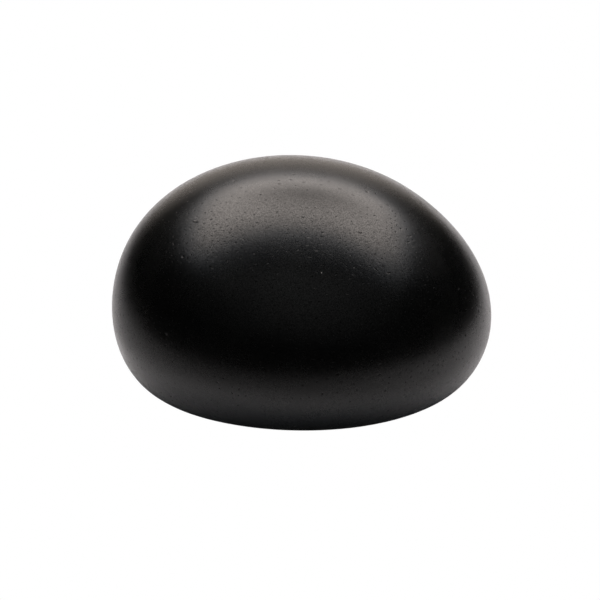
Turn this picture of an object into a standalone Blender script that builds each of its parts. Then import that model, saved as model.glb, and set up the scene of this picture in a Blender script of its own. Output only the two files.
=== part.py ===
# A tumbled black onyx: one smooth egg-shaped stone that rests on its own worn base.
# Metres, +Z up. The origin is on the ground under the middle of the stone.

import math

import bmesh
import bpy
from mathutils import Matrix, Vector

MM = 0.001

# The finished stone's box
LENGTH = 30.0 * MM
DEPTH = 25.4 * MM
HEIGHT = 18.0 * MM

# The whole pebble before its underside wore down: three half axes of an egg
EGG_HALF_LENGTH = 14.83 * MM
EGG_HALF_DEPTH = 12.58 * MM
EGG_HALF_HEIGHT = 10.73 * MM

# How the egg departs from a plain ellipsoid
CROWN_TAPER = 0.126  # the crown is slimmer and the lower body stouter by this share
SHOULDER_FILL = 0.10  # both shoulders stand out by this share
END_SWELL = 0.03  # the +X end is broader front to back than the other
CROWN_LEAN = 1.58 * MM  # the crown leans this far towards -X
TILT = math.radians(-1.96)  # about Y: the widest level climbs towards +X

# The worn underside
BASE_LEVEL = -7.23 * MM  # below the egg's middle
RIM_SOFTNESS = 0.4 * MM  # how gently the side turns under
BASE_CROWN = 0.03  # share of the egg's own roundness left under the rim
FLAT_DEPTH = 0.03 * MM  # ground off level where the stone rests

# Shallow flats that tumbling left: direction round from +X, direction up, depth, reach
WORN_FLATS = (
    (62.0, 8.0, 0.30 * MM, 30.0),
    (128.0, 26.0, 0.26 * MM, 26.0),
    (172.0, -8.0, 0.14 * MM, 24.0),
    (20.0, 30.0, 0.12 * MM, 22.0),
)

GRID = 20  # faces along each edge of the cube that becomes the egg

ONYX_BLACK = (0.004, 0.004, 0.0042, 1.0)
SATIN_POLISH = 0.26


def clear_scene():
    for old in list(bpy.data.objects):
        bpy.data.objects.remove(old, do_unlink=True)


def unit_ball():
    """A ball of radius 1 made of even squares, so that it has no poles."""
    ball = bmesh.new()
    bmesh.ops.create_cube(ball, size=2.0)
    bmesh.ops.subdivide_edges(ball, edges=ball.edges[:], cuts=GRID - 1, use_grid_fill=True)
    for vert in ball.verts:
        even = [math.tan(side * math.pi / 4) for side in vert.co]
        vert.co = Vector(even).normalized()
    return ball


def heading(round_deg, up_deg):
    around = math.radians(round_deg)
    up = math.radians(up_deg)
    return Vector(
        (math.cos(up) * math.cos(around), math.cos(up) * math.sin(around), math.sin(up))
    )


def flats_pressed(direction):
    """How far the worn flats press the skin in, at this direction from the middle."""
    pressed = 0.0
    for round_deg, up_deg, depth, reach_deg in WORN_FLATS:
        away = direction.angle(heading(round_deg, up_deg))
        pressed += depth * math.exp(-((away / math.radians(reach_deg)) ** 2))
    return pressed


def egg_skin(direction):
    """The point of the whole egg that lies this way, for a direction of length 1."""
    girth = 1 - CROWN_TAPER * direction.z + SHOULDER_FILL * direction.z**2
    climb = (direction.z + 1) / 2
    point = Vector(
        (
            EGG_HALF_LENGTH * girth * direction.x - CROWN_LEAN * climb**2,
            EGG_HALF_DEPTH * girth * direction.y * (1 + END_SWELL * direction.x),
            EGG_HALF_HEIGHT * direction.z,
        )
    )
    point -= direction * flats_pressed(direction)
    return Matrix.Rotation(TILT, 3, "Y") @ point


def worn_under(point):
    """Turns the skin under at the base level, in a soft rim and a nearly flat bottom."""
    above = point.z - BASE_LEVEL
    kept = RIM_SOFTNESS * math.log1p(math.exp(above / RIM_SOFTNESS))
    point.z = BASE_LEVEL + kept + BASE_CROWN * (above - kept)
    return point


def shape_stone(stone):
    for vert in stone.verts:
        vert.co = worn_under(egg_skin(vert.co))


def grind_flat(stone):
    """Cuts the lowest skin off level and closes it with one flat face."""
    lowest = min(vert.co.z for vert in stone.verts)
    cut = bmesh.ops.bisect_plane(
        stone,
        geom=stone.verts[:] + stone.edges[:] + stone.faces[:],
        plane_co=(0, 0, lowest + FLAT_DEPTH),
        plane_no=(0, 0, 1),
        clear_inner=True,
    )
    rim = [item for item in cut["geom_cut"] if isinstance(item, bmesh.types.BMEdge)]
    bmesh.ops.contextual_create(stone, geom=rim)


def fit_box(stone):
    """Brings the stone to its length, depth and height, standing on the ground."""
    for axis, size in enumerate((LENGTH, DEPTH, HEIGHT)):
        low = min(vert.co[axis] for vert in stone.verts)
        high = max(vert.co[axis] for vert in stone.verts)
        base = low if axis == 2 else (low + high) / 2
        for vert in stone.verts:
            vert.co[axis] = (vert.co[axis] - base) * size / (high - low)


def polished_onyx():
    onyx = bpy.data.materials.new("polished onyx")
    onyx.use_nodes = True
    surface = onyx.node_tree.nodes["Principled BSDF"]
    surface.inputs["Base Color"].default_value = ONYX_BLACK
    surface.inputs["Metallic"].default_value = 0.0
    surface.inputs["Roughness"].default_value = SATIN_POLISH
    return onyx


def make_stone():
    shape = unit_ball()
    shape_stone(shape)
    grind_flat(shape)
    fit_box(shape)
    bmesh.ops.recalc_face_normals(shape, faces=shape.faces[:])
    mesh = bpy.data.meshes.new("stone")
    shape.to_mesh(mesh)
    shape.free()
    mesh.shade_smooth()
    mesh.materials.append(polished_onyx())
    stone = bpy.data.objects.new("stone", mesh)
    bpy.context.scene.collection.objects.link(stone)


clear_scene()
make_stone()
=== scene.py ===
import math
import random

import bpy
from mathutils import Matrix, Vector, noise


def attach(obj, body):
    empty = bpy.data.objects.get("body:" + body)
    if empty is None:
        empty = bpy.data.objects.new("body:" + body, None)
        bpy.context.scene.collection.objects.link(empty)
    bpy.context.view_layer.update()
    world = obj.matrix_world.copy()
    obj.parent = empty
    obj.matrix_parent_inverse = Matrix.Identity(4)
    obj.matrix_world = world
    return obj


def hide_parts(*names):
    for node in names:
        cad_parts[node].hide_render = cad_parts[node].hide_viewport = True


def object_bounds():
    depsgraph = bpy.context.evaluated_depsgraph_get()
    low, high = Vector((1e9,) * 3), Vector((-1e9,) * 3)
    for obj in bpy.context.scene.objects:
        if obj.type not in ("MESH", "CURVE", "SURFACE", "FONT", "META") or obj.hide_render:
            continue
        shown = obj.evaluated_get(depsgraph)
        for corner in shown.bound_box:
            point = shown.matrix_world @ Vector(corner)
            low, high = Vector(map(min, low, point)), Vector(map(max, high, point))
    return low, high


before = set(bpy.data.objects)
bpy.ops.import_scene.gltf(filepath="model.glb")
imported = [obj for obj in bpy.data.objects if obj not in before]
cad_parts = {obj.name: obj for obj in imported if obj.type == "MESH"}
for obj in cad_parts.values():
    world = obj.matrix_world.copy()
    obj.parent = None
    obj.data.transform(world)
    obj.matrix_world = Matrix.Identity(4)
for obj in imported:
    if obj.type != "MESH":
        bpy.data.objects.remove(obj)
cadLow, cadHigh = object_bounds()
mm = 0.001
print("frame loaded:", [round(side / mm, 2) for side in cadHigh - cadLow], "mm")


def deselectAll():
    if bpy.context.mode != "OBJECT":
        bpy.ops.object.mode_set(mode="OBJECT")
    bpy.ops.object.select_all(action="DESELECT")


def makeActive(item):
    deselectAll()
    item.select_set(True)
    bpy.context.view_layer.objects.active = item


def editAll(item):
    makeActive(item)
    bpy.ops.object.mode_set(mode="EDIT")
    bpy.ops.mesh.select_all(action="SELECT")


def editFaces(item, chosen):
    # opens edit mode with only these faces selected
    makeActive(item)
    bpy.context.tool_settings.mesh_select_mode = (False, False, True)
    bpy.ops.object.mode_set(mode="EDIT")
    bpy.ops.mesh.select_all(action="DESELECT")
    bpy.ops.object.mode_set(mode="OBJECT")
    for index in chosen:
        item.data.polygons[index].select = True
    bpy.ops.object.mode_set(mode="EDIT")


def applyModifier(item, kind, **settings):
    makeActive(item)
    modifier = item.modifiers.new(kind.lower(), kind)
    for name, value in settings.items():
        setattr(modifier, name, value)
    bpy.ops.object.modifier_apply(modifier=modifier.name)


# the stone's skin
stoneSkin = {
    "firstCuts": 4,                 # the starting cube gets 5 faces along each edge
    "doublings": 4,                 # then 10, 20, 40, 80
    "mergeWithin": 0.001 * mm,
    "quadAngle": math.radians(60),  # triangles of the form pair up into squares below this
    "formLevels": 2,                # smoothing of the form that the skin is wrapped on
    "relaxSteps": 4,
    "relaxFactor": 0.5,
    "fullness": 0.024 * mm,         # what the smoothing took off the form
    "drift": 1.1 * mm,              # bends the rows of squares, so that the pits keep to no lines
    "driftSize": 2.4 * mm,
    "looseness": 0.055 * mm,        # and shifts each corner a little
    "seed": 7,
}


def smoothForm():
    # a closed, rounded copy of the CAD stone, only used to wrap the skin on
    form = bpy.data.objects.new("wrapForm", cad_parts["stone"].data.copy())
    bpy.context.scene.collection.objects.link(form)
    editAll(form)
    bpy.ops.mesh.customdata_custom_splitnormals_clear()
    bpy.ops.mesh.remove_doubles(threshold=stoneSkin["mergeWithin"])
    bpy.ops.mesh.tris_convert_to_quads(
        face_threshold=stoneSkin["quadAngle"], shape_threshold=stoneSkin["quadAngle"])
    bpy.ops.object.mode_set(mode="OBJECT")
    levels = stoneSkin["formLevels"]
    applyModifier(form, "SUBSURF", levels=levels, render_levels=levels)
    bpy.ops.object.shade_smooth()
    return form


def evenBall():
    # a cube rounded out a little at a time, so its squares stay even and there is no pole
    size = cadHigh - cadLow
    deselectAll()
    bpy.ops.mesh.primitive_cube_add(size=1, location=(0, 0, 0))
    ball = bpy.context.active_object
    ball.name = "onyx_stone"
    ball.data.name = "onyx_stone"
    editAll(ball)
    bpy.ops.mesh.subdivide(number_cuts=stoneSkin["firstCuts"])
    bpy.ops.transform.tosphere(value=1)
    for step in range(stoneSkin["doublings"]):
        bpy.ops.mesh.subdivide(number_cuts=1)
        bpy.ops.transform.tosphere(value=1)
    bpy.ops.object.mode_set(mode="OBJECT")
    radius = max(vertex.co.length for vertex in ball.data.vertices)
    editAll(ball)
    bpy.ops.transform.resize(value=[side / 2 / radius for side in size])
    bpy.ops.transform.translate(value=(cadLow + cadHigh) / 2)
    bpy.ops.object.mode_set(mode="OBJECT")
    return ball


def wrapOn(stone, form):
    applyModifier(
        stone, "SHRINKWRAP", target=form, wrap_method="PROJECT",
        use_negative_direction=True, use_positive_direction=True,
    )


def bendRows(stone):
    # slow noise pushes the squares sideways
    texture = bpy.data.textures.new("drift", "CLOUDS")
    texture.cloud_type = "COLOR"
    texture.noise_depth = 1
    texture.noise_scale = stoneSkin["driftSize"]
    applyModifier(
        stone, "DISPLACE", texture=texture, direction="RGB_TO_XYZ", mid_level=0.5,
        strength=stoneSkin["drift"],
    )


def wrapSkin():
    form = smoothForm()
    stone = evenBall()
    wrapOn(stone, form)
    applyModifier(stone, "SMOOTH", factor=stoneSkin["relaxFactor"], iterations=stoneSkin["relaxSteps"])
    editAll(stone)
    bpy.ops.transform.shrink_fatten(value=stoneSkin["fullness"])
    bpy.ops.object.mode_set(mode="OBJECT")
    bpy.data.objects.remove(form)
    # loosen the squares, then lay them back on a copy of the smooth skin
    smooth = stone.copy()
    smooth.data = stone.data.copy()
    bpy.context.scene.collection.objects.link(smooth)
    bendRows(stone)
    editAll(stone)
    bpy.ops.transform.vertex_random(offset=stoneSkin["looseness"], seed=stoneSkin["seed"])
    bpy.ops.object.mode_set(mode="OBJECT")
    applyModifier(stone, "SHRINKWRAP", target=smooth, wrap_method="TARGET_PROJECT")
    bpy.data.objects.remove(smooth)
    # level the resting face
    editFaces(stone, [face.index for face in stone.data.polygons if face.center.z < 0])
    bpy.ops.transform.resize(value=(1, 1, 0), center_override=(0, 0, 0))
    bpy.ops.object.mode_set(mode="OBJECT")
    bpy.ops.object.shade_smooth()
    print("skin wrapped:", len(stone.data.polygons), "faces")
    return stone


stone = wrapSkin()

# pits in the polish
pits = {
    "seed": 41,
    "patchSize": 3.2 * mm,      # pits crowd together in patches of about this size
    "patchBase": 0.6,           # how full the usual patch is
    "patchPull": 0.75,          # 0 spreads them evenly
    "patchLeast": 0.06,         # even an empty patch holds a few
    "patchFiner": 2.7,          # patches within the patches, this much smaller
    "groundClear": 0.15 * mm,   # none where the stone rests
    "smoothBack": (-5.5 * mm, -2.5 * mm, 0.3),  # from here back to here they thin out to this share
    "smoothFoot": (6 * mm, 3.5 * mm, 0.3),      # and from here down to here
    "leastRim": 0.018 * mm,     # flat rim that a pit leaves round itself in its square
    "rimStep": 0.012 * mm,
    "ragged": 0.010 * mm,       # random shift of a pit's edge
    # "across" is how many squares of the skin a pit spans each way
    "kinds": [
        {"across": 2, "count": 22, "opening": 0.170 * mm, "slope": 0.046 * mm, "depth": 0.012 * mm},
        {"across": 1, "count": 150, "opening": 0.120 * mm, "slope": 0.034 * mm, "depth": 0.008 * mm},
        {"across": 1, "count": 800, "opening": 0.086 * mm, "slope": 0.024 * mm, "depth": 0.0055 * mm},
        {"across": 1, "count": 1800, "opening": 0.062 * mm, "slope": 0.016 * mm, "depth": 0.0038 * mm},
    ],
}


def crowding(place):
    # the chance that a pit fits in here
    spot = place / pits["patchSize"]
    patch = noise.noise(spot) + 0.5 * noise.noise(spot * pits["patchFiner"])
    full = min(max(pits["patchBase"] + pits["patchPull"] * patch, pits["patchLeast"]), 1)
    for side, (start, end, least) in ((place.y, pits["smoothBack"]), (place.z, pits["smoothFoot"])):
        past = min(max((side - start) / (end - start), 0), 1)
        full *= 1 - (1 - least) * past
    return full


def pickPits(mesh, rng):
    # for each kind, the faces of its pits by how wide a rim they leave; no two pits touch,
    # and a wide pit takes the four squares round a corner
    around = [[] for vertex in mesh.vertices]
    for face in mesh.polygons:
        for corner in face.vertices:
            around[corner].append(face.index)
    spots = {
        1: [([face.index], face.center.copy()) for face in mesh.polygons],
        2: [(around[vertex.index], vertex.co.copy())
            for vertex in mesh.vertices if len(around[vertex.index]) == 4],
    }
    taken = set()
    picked = []
    for kind in pits["kinds"]:
        rng.shuffle(spots[kind["across"]])
        byRim = {}
        left = kind["count"]
        for faces, place in spots[kind["across"]]:
            if left == 0:
                break
            side = math.sqrt(sum(mesh.polygons[face].area for face in faces))
            rim = (side - kind["opening"]) / 2
            if rim < pits["leastRim"] or place.z < pits["groundClear"]:
                continue
            if rng.random() > crowding(place):
                continue
            corners = {corner for face in faces for corner in mesh.polygons[face].vertices}
            if any(near in taken for corner in corners for near in around[corner]):
                continue
            taken.update(faces)
            byRim.setdefault(round(rim / pits["rimStep"]), []).extend(faces)
            left -= 1
        picked.append(byRim)
    return picked


def sinkPits(stone):
    # each pit is inset in its square, roughened, then inset again and pushed down
    mesh = stone.data
    mesh.attributes.new("pitWear", "FLOAT", "POINT")
    rng = random.Random(pits["seed"])
    for kind, byRim in zip(pits["kinds"], pickPits(mesh, rng)):
        single = kind["across"] == 1
        for step, faces in byRim.items():
            editFaces(stone, faces)
            bpy.ops.mesh.inset(
                thickness=step * pits["rimStep"], use_individual=single, use_even_offset=False)
            bpy.ops.object.mode_set(mode="OBJECT")
        editFaces(stone, [face for faces in byRim.values() for face in faces])
        bpy.ops.transform.vertex_random(offset=pits["ragged"], seed=rng.randrange(1000))
        bpy.ops.mesh.inset(
            thickness=kind["slope"], depth=-kind["depth"],
            use_individual=single, use_even_offset=False)
        bpy.ops.object.mode_set(mode="OBJECT")
        wear = mesh.attributes["pitWear"].data
        for vertex in mesh.vertices:
            if vertex.select:
                wear[vertex.index].value = 1
        print("pits sunk:", sum(len(faces) for faces in byRim.values()) // kind["across"]**2)
    mesh.shade_smooth()


sinkPits(stone)

# polished onyx
onyxFinish = {
    "black": (0.0010, 0.0014, 0.0013, 1),
    "grey": (0.0042, 0.0048, 0.0046, 1),
    "cloudSize": 3.0 * mm,
    "cloudShare": 0.4,                      # the rest of the mottling is fine
    "fineMottle": 0.17 * mm,
    "mottleSoftness": 0.2,                  # less makes harder spots
    "paintedGlint": (0.020, 0.020, 0.021, 1),      # painted glints: rare pale specks in the base colour
    "glintSpacing": 0.50 * mm,
    "glintSize": (0.050 * mm, 0.020 * mm),  # to its edge, and to its full colour
    "glintShare": 0.4,                      # of the cells of a loose net
    "roughness": (0.25, 0.29),
    "fineRoughness": 0.01,                  # each way
    "fineRoughnessSize": 0.0765 * mm,
    "pitRoughness": 0.15,                   # added in the pits, which no polish reaches
    "grainSize": 0.085 * mm,
    "grainSoftness": 0.13,
    "grainHeight": 0.00018 * mm,
    "grainLevels": (2 * mm, 10 * mm),       # the grain takes off more shine on the crown
    "grainLoss": (0.16, 0.58),
    "backGrain": (-6 * mm, 1 * mm, 0.12),   # towards the back it weakens to this share
    "pitLoss": 0.37,                        # shine that a pit takes off
    "glassiness": 1.64,                     # index of refraction
}


def nodeMaker(tree):
    # returns short ways to add nodes, already wired
    def add(kind, inputs=(), **settings):
        node = tree.nodes.new(kind)
        for name, value in settings.items():
            setattr(node, name, value)
        for socket, value in dict(inputs).items():
            if isinstance(value, bpy.types.NodeSocket):
                tree.links.new(value, node.inputs[socket])
            else:
                node.inputs[socket].default_value = value
        return node

    def calc(operation, *values):
        return add("ShaderNodeMath", dict(enumerate(values)), operation=operation).outputs[0]

    def ramp(value, start, end, low=0, high=1, eased=False):
        # low up to the start, high from the end on
        node = add("ShaderNodeMapRange", {
            "Value": value, "From Min": start, "From Max": end, "To Min": low, "To Max": high})
        if eased:
            node.interpolation_type = "SMOOTHSTEP"
        return node.outputs[0]

    def blend(share, first, second):
        return add("ShaderNodeMix", {0: share, 6: first, 7: second}, data_type="RGBA").outputs[2]

    return add, calc, ramp, blend


def polishedOnyx():
    material = bpy.data.materials.new("polished onyx")
    material.use_nodes = True
    surface = material.node_tree.nodes["Principled BSDF"]
    surface.inputs["IOR"].default_value = onyxFinish["glassiness"]
    add, calc, ramp, blend = nodeMaker(material.node_tree)
    place = add("ShaderNodeTexCoord").outputs["Object"]

    def paintedGlintSpots():
        # 1 inside small round spots, the painted glints
        spacing = onyxFinish["glintSpacing"]
        edge, core = onyxFinish["glintSize"]
        cells = add("ShaderNodeTexVoronoi", {"Vector": place, "Scale": 1 / spacing})
        spot = ramp(cells.outputs["Distance"], edge / spacing, core / spacing, eased=True)
        lot = add("ShaderNodeSeparateColor", {0: cells.outputs["Color"]}).outputs[0]
        return calc("MULTIPLY", spot, calc("LESS_THAN", lot, onyxFinish["glintShare"]))

    def mottle(size, low, high, detail=1, softness=onyxFinish["mottleSoftness"]):
        # cloudy values between low and high
        cloud = add("ShaderNodeTexNoise", {"Vector": place, "Scale": 1 / size, "Detail": detail})
        return ramp(cloud.outputs[0], 0.5 - softness, 0.5 + softness, low, high)

    share = onyxFinish["cloudShare"]
    clouds = mottle(onyxFinish["cloudSize"], 0, share, detail=3)
    greyness = calc("ADD", clouds, mottle(onyxFinish["fineMottle"], 0, 1 - share))
    body = blend(greyness, onyxFinish["black"], onyxFinish["grey"])
    # painted glints: pale specks laid into the base colour
    colour = blend(paintedGlintSpots(), body, onyxFinish["paintedGlint"])
    smooth, dull = onyxFinish["roughness"]
    fine = onyxFinish["fineRoughness"]
    polish = calc(
        "ADD", mottle(onyxFinish["cloudSize"], smooth, dull, detail=2),
        mottle(onyxFinish["fineRoughnessSize"], -fine, fine))
    worn = add("ShaderNodeAttribute", attribute_name="pitWear").outputs["Fac"]
    roughness = calc("ADD", polish, calc("MULTIPLY", worn, onyxFinish["pitRoughness"]))
    low, high = onyxFinish["grainLevels"]
    least, most = onyxFinish["grainLoss"]
    sides = add("ShaderNodeSeparateXYZ", {0: place})
    level = ramp(sides.outputs["Z"], low, high, least, most)
    start, end, weakest = onyxFinish["backGrain"]
    back = ramp(sides.outputs["Y"], start, end, 1, weakest)
    # black and metallic means dull: this takes the shine off single grains
    strength = calc("MULTIPLY", level, back)
    grains = mottle(onyxFinish["grainSize"], 0, 1, softness=onyxFinish["grainSoftness"])
    loss = calc("MULTIPLY", grains, strength)
    dulled = calc("ADD", loss, calc("MULTIPLY", worn, onyxFinish["pitLoss"]))
    relief = add("ShaderNodeBump", {"Height": grains, "Distance": onyxFinish["grainHeight"]})
    links = material.node_tree.links
    links.new(colour, surface.inputs["Base Color"])
    links.new(roughness, surface.inputs["Roughness"])
    links.new(dulled, surface.inputs["Metallic"])
    links.new(relief.outputs[0], surface.inputs["Normal"])
    return material


stone.data.materials.clear()
stone.data.materials.append(polishedOnyx())
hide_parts("stone")
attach(stone, "root")
print("onyx polished")


def emptyMaterial(name):
    material = bpy.data.materials.new(name)
    material.use_nodes = True
    nodes = material.node_tree.nodes
    nodes.remove(nodes["Principled BSDF"])
    return material, nodes["Material Output"]


softLight = {
    "height": 450 * mm,         # above the table; the figures below are shares of it
    "middleY": 0.662,
    "halfDepth": 0.644,
    "frontLeft": -0.989,
    "frontRight": 0.962,
    "backLeft": -0.461,
    "backRight": 0.831,
    "bow": 0.340,               # its sides reach further forward than its middle
    "bowWithin": 2,             # half widths out; further out they reach no further
    "squareness": 7.1,
    "fade": 0.46,               # how soft the edges are
    "depthMargin": 1.4,         # leaves room for the bow and the spill
    "glow": 5.3,
    "backGain": 0.265,          # brighter towards the back by this share
    "capAt": (0.133, 0.710),    # the lamp's own cap shades the middle
    "capSize": (0.53, 0.325),
    "capShade": 0.86,
    "tint": (1.0, 0.91, 0.857, 1),
    "edgeTint": (0.84, 0.93, 1.05, 1),
    "edgeReach": 0.62,          # how far in from its edge the light stays cool
    "spill": 0.026,             # a faint share of the glow spills out in front
    "spillReach": (-2.15, -1.4),
    "spillWidth": (1.75, 1.05),
}


def softLightGlow():
    # a soft-edged patch of light, wider in front, with a shaded middle and a faint spill ahead of it
    material, output = emptyMaterial("softbox light")
    add, calc, ramp, blend = nodeMaker(material.node_tree)
    place = add("ShaderNodeTexCoord").outputs["Object"]
    shrink = 1 / softLight["height"]
    share = add("ShaderNodeVectorMath", {0: place, "Scale": shrink}, operation="SCALE")
    split = add("ShaderNodeSeparateXYZ", {0: share.outputs[0]})
    x, y = split.outputs["X"], split.outputs["Y"]
    along = calc("DIVIDE", calc("SUBTRACT", y, softLight["middleY"]), softLight["halfDepth"])
    back = ramp(along, -1, 1)
    left = ramp(back, 0, 1, softLight["frontLeft"], softLight["backLeft"])
    right = ramp(back, 0, 1, softLight["frontRight"], softLight["backRight"])
    middle = calc("MULTIPLY", calc("ADD", left, right), 0.5)
    halfWidth = calc("MULTIPLY", calc("SUBTRACT", right, left), 0.5)
    across = calc("DIVIDE", calc("SUBTRACT", x, middle), halfWidth)
    squared = calc("MINIMUM", calc("MULTIPLY", across, across), softLight["bowWithin"] ** 2)
    bent = calc("MULTIPLY", squared, softLight["bow"])
    power = softLight["squareness"]
    sideways = calc("ABSOLUTE", across)
    forwards = calc("ADD", along, bent)
    wide = calc("POWER", sideways, power)
    deep = calc("POWER", calc("ABSOLUTE", forwards), power)
    reach = calc("POWER", calc("ADD", wide, deep), 1 / power)
    patch = ramp(reach, 1 + softLight["fade"], 1 - softLight["fade"], eased=True)
    capX = calc("DIVIDE", calc("SUBTRACT", x, softLight["capAt"][0]), softLight["capSize"][0])
    capY = calc("DIVIDE", calc("SUBTRACT", y, softLight["capAt"][1]), softLight["capSize"][1])
    capReach = calc("ADD", calc("MULTIPLY", capX, capX), calc("MULTIPLY", capY, capY))
    cap = calc("EXPONENT", calc("MULTIPLY", capReach, -1))
    uncapped = calc("SUBTRACT", 1, calc("MULTIPLY", cap, softLight["capShade"]))
    gain = calc("MAXIMUM", calc("ADD", 1, calc("MULTIPLY", along, softLight["backGain"])), 0)
    outer, inner = softLight["spillReach"]
    spillFront = ramp(forwards, outer, inner, 0, softLight["spill"], eased=True)
    outer, inner = softLight["spillWidth"]
    spillSides = ramp(sideways, outer, inner, eased=True)
    spill = calc("MULTIPLY", spillFront, spillSides)
    main = calc("MULTIPLY", calc("MULTIPLY", patch, uncapped), gain)
    strength = calc("MULTIPLY", calc("ADD", main, spill), softLight["glow"])
    inward = ramp(patch, 0, softLight["edgeReach"])
    tint = blend(inward, softLight["edgeTint"], softLight["tint"])
    emission = add("ShaderNodeEmission", {"Color": tint, "Strength": strength})
    material.node_tree.links.new(emission.outputs[0], output.inputs["Surface"])
    return material


def makeSoftLight():
    height = softLight["height"]
    outer = 1 + softLight["fade"]
    depth = 2 * outer * softLight["halfDepth"] * height * softLight["depthMargin"]
    width = -2 * outer * softLight["frontLeft"] * height
    deselectAll()
    bpy.ops.mesh.primitive_plane_add(size=1, location=(0, 0, 0))
    light = bpy.context.active_object
    light.name = "softbox"
    editAll(light)
    bpy.ops.transform.resize(value=(width, depth, 1))
    bpy.ops.transform.translate(value=(0, softLight["middleY"] * height, height))
    bpy.ops.object.mode_set(mode="OBJECT")
    light.data.materials.append(softLightGlow())
    light.visible_camera = False


fillLight = {
    "size": (820 * mm, 560 * mm),       # overhead; only matt surfaces catch it
    "place": (0, 40 * mm, 425 * mm),
    "power": 0.2,
}


def makeFillLight():
    deselectAll()
    bpy.ops.object.light_add(type="AREA", location=fillLight["place"])
    light = bpy.context.active_object
    light.name = "fill_light"
    light.data.shape = "RECTANGLE"
    light.data.size, light.data.size_y = fillLight["size"]
    light.data.energy = fillLight["power"]
    light.visible_camera = False
    light.visible_glossy = False


backWall = {
    "left": -28.6,              # degrees round from straight behind
    "right": 19.8,
    "top": 42.4,                # degrees up
    "fade": 14.0,
    "low": 0.84,
    "high": 0.22,
    "tint": (1.0, 0.89, 0.80, 1),
}

tableTop = {
    "width": 3000 * mm,
    "drop": 0.05 * mm,                      # its level is just under the stone
    "middle": (5.2 * mm, 19.5 * mm),        # of a pale place, which the stone mirrors; its soft fade is partly painted light
    "left": 60 * mm,
    "right": 47.5 * mm,
    "front": 51 * mm,
    "skew": 0.119,                          # its front leans sideways
    "spread": 0.843 / (100 * mm),           # it widens towards the back
    "fullWithin": 0.47,                     # it fades from this share of its reach
    "paleness": 0.745,
    "paintedPoolMiddle": (-1.6 * mm, -1.2 * mm),  # painted pool of light: it is paler still close to the stone
    "paintedPoolReach": (20.8 * mm, 17.6 * mm),
    "paintedPoolWithin": 0.75,
    "paintedPoolGain": 0.42,
    "white": (0.945, 0.965, 1.0, 1),
    "dark": (0.012, 0.012, 0.012, 1),
    "paintedSweepGlow": 0.33,                        # far back a painted glow stands in for a lit sweep; the table stays flat
    "farFrom": 110 * mm,
    "farTo": 207 * mm,
    "farEnd": 400 * mm,
    "farSides": (180 * mm, 97 * mm),
}


def tableFinish():
    # white to the camera; the stone mirrors a dark table with a pale, soft-edged place on it, paler
    # still near the stone;
    # its soft fade, that paler ring and the glow for a lit sweep far back are painted light
    material, output = emptyMaterial("table top")
    add, calc, ramp, blend = nodeMaker(material.node_tree)

    def distance(a, b):
        return calc("SQRT", calc("ADD", calc("MULTIPLY", a, a), calc("MULTIPLY", b, b)))

    middleX, middleY = tableTop["middle"]
    place = add("ShaderNodeSeparateXYZ", {0: add("ShaderNodeTexCoord").outputs["Object"]})
    x, y = place.outputs["X"], place.outputs["Y"]
    behind = calc("SUBTRACT", y, middleY)
    ahead = calc("MINIMUM", behind, 0)
    sideways = calc("ADD", calc("SUBTRACT", x, middleX), calc("MULTIPLY", ahead, tableTop["skew"]))
    half = ramp(calc("GREATER_THAN", sideways, 0), 0, 1, tableTop["left"], tableTop["right"])
    spread = calc("ADD", calc("MULTIPLY", calc("MAXIMUM", behind, 0), tableTop["spread"]), 1)
    across = calc("DIVIDE", sideways, calc("MULTIPLY", half, spread))
    deep = calc("DIVIDE", ahead, tableTop["front"])
    # the pale place, whose soft fade is partly a painted falloff of light
    wide = ramp(distance(across, deep), 1, tableTop["fullWithin"], 0, tableTop["paleness"])
    closeX = calc("DIVIDE", calc("SUBTRACT", x, tableTop["paintedPoolMiddle"][0]), tableTop["paintedPoolReach"][0])
    closeY = calc("DIVIDE", calc("SUBTRACT", y, tableTop["paintedPoolMiddle"][1]), tableTop["paintedPoolReach"][1])
    # painted pool of light: paler close to the stone
    paintedPool = ramp(distance(closeX, closeY), 1, tableTop["paintedPoolWithin"], 0, tableTop["paintedPoolGain"])
    pale = calc("MINIMUM", calc("ADD", wide, paintedPool), 1)
    matt = add("ShaderNodeBsdfDiffuse", {"Color": blend(pale, tableTop["dark"], tableTop["white"])})
    # painted glow far back: the flat table shines like a lit sweep
    outer, inner = tableTop["farSides"]
    sides = ramp(calc("ABSOLUTE", x), outer, inner, eased=True)
    far = ramp(y, tableTop["farFrom"], tableTop["farTo"], 0, tableTop["paintedSweepGlow"], eased=True)
    near = calc("LESS_THAN", y, tableTop["farEnd"])
    sweepGlowShare = calc("MULTIPLY", calc("MULTIPLY", sides, far), near)
    glow = add("ShaderNodeEmission", {"Color": backWall["tint"], "Strength": sweepGlowShare})
    mirrored = add("ShaderNodeAddShader", {0: matt.outputs[0], 1: glow.outputs[0]})
    white = add("ShaderNodeEmission", {"Color": (1, 1, 1, 1), "Strength": 1.0})
    seen = add("ShaderNodeLightPath").outputs["Is Camera Ray"]
    mix = add("ShaderNodeMixShader", {"Fac": seen, 1: mirrored.outputs[0], 2: white.outputs[0]})
    material.node_tree.links.new(mix.outputs[0], output.inputs["Surface"])
    return material


def makeTable():
    deselectAll()
    bpy.ops.mesh.primitive_plane_add(size=1, location=(0, 0, 0))
    table = bpy.context.active_object
    table.name = "table_top"
    editAll(table)
    bpy.ops.transform.resize(value=(tableTop["width"], tableTop["width"], 1))
    bpy.ops.transform.translate(value=(0, 0, -tableTop["drop"]))
    bpy.ops.object.mode_set(mode="OBJECT")
    table.data.materials.append(tableFinish())


roomLight = {
    "front": 0.19,              # a little light from the front, high up
    "overhead": 0.5,            # and this share of it from straight above
}


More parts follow.
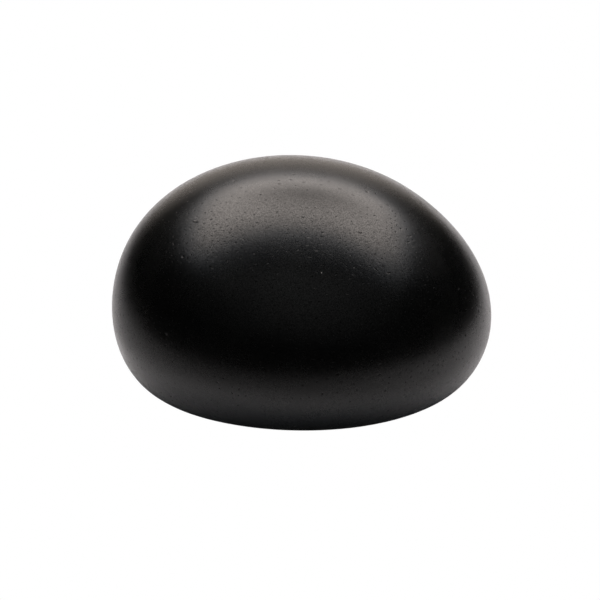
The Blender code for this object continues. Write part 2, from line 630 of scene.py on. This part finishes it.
def makeRoom():
    # white to the camera; the stone mirrors a dark room with a lit wall behind
    world = bpy.data.worlds.new("dark room")
    bpy.context.scene.world = world
    world.use_nodes = True
    add, calc, ramp, _ = nodeMaker(world.node_tree)
    way = add("ShaderNodeSeparateXYZ", {0: add("ShaderNodeTexCoord").outputs["Generated"]})
    x, y, z = way.outputs
    around = calc("DEGREES", calc("ARCTAN2", x, y))
    up = calc("DEGREES", calc("ARCSINE", z))

    def inside(value, edge, sign):
        # 1 on this side of the edge, fading to 0 past it
        fade = backWall["fade"] * sign
        return ramp(value, edge + fade, edge - fade, eased=True)

    left = inside(around, backWall["left"], -1)
    right = inside(around, backWall["right"], 1)
    patch = calc("MULTIPLY", calc("MULTIPLY", left, right), inside(up, backWall["top"], 1))
    wall = ramp(up, 0, backWall["top"], backWall["low"], backWall["high"])
    facing = calc("MAXIMUM", calc("SUBTRACT", roomLight["overhead"], y), 0)
    upward = calc("MULTIPLY", facing, calc("MAXIMUM", z, 0))
    forward = calc("MULTIPLY", upward, calc("SUBTRACT", 1, calc("MULTIPLY", x, x)))
    room = calc("MULTIPLY", forward, roomLight["front"])
    dark = add("ShaderNodeBackground", {"Color": (1, 1, 1, 1), "Strength": room})
    behind = calc("MULTIPLY", patch, wall)
    lit = add("ShaderNodeBackground", {"Color": backWall["tint"], "Strength": behind})
    both = add("ShaderNodeAddShader", {0: dark.outputs[0], 1: lit.outputs[0]})
    pale = add("ShaderNodeBackground", {"Color": (1, 1, 1, 1), "Strength": 1.0})
    seen = add("ShaderNodeLightPath").outputs["Is Camera Ray"]
    mix = add("ShaderNodeMixShader", {"Fac": seen, 1: both.outputs[0], 2: pale.outputs[0]})
    world.node_tree.links.new(mix.outputs[0], world.node_tree.nodes["World Output"].inputs["Surface"])


cameraSetup = {
    "aim": (-0.144 * mm, 0, 6.741 * mm),
    "distance": 300 * mm,
    "elevation": 24,                # degrees
    "lens": 227.8,                  # this and the sensor are in Blender's millimetres
    "sensor": 36,
    "clip": (10 * mm, 10000 * mm),
}


def placeCamera():
    data = bpy.data.cameras.new("camera")
    data.lens = cameraSetup["lens"]
    data.sensor_width = cameraSetup["sensor"]
    data.clip_start, data.clip_end = cameraSetup["clip"]
    camera = bpy.data.objects.new("camera", data)
    bpy.context.scene.collection.objects.link(camera)
    up = math.radians(cameraSetup["elevation"])
    away = Vector((0, -math.cos(up), math.sin(up)))
    camera.location = Vector(cameraSetup["aim"]) + away * cameraSetup["distance"]
    camera.rotation_euler = (math.pi / 2 - up, 0, 0)
    bpy.context.scene.camera = camera


makeTable()
makeSoftLight()
makeFillLight()
makeRoom()
placeCamera()
bpy.context.scene.view_settings.view_transform = "Standard"
print("studio set")
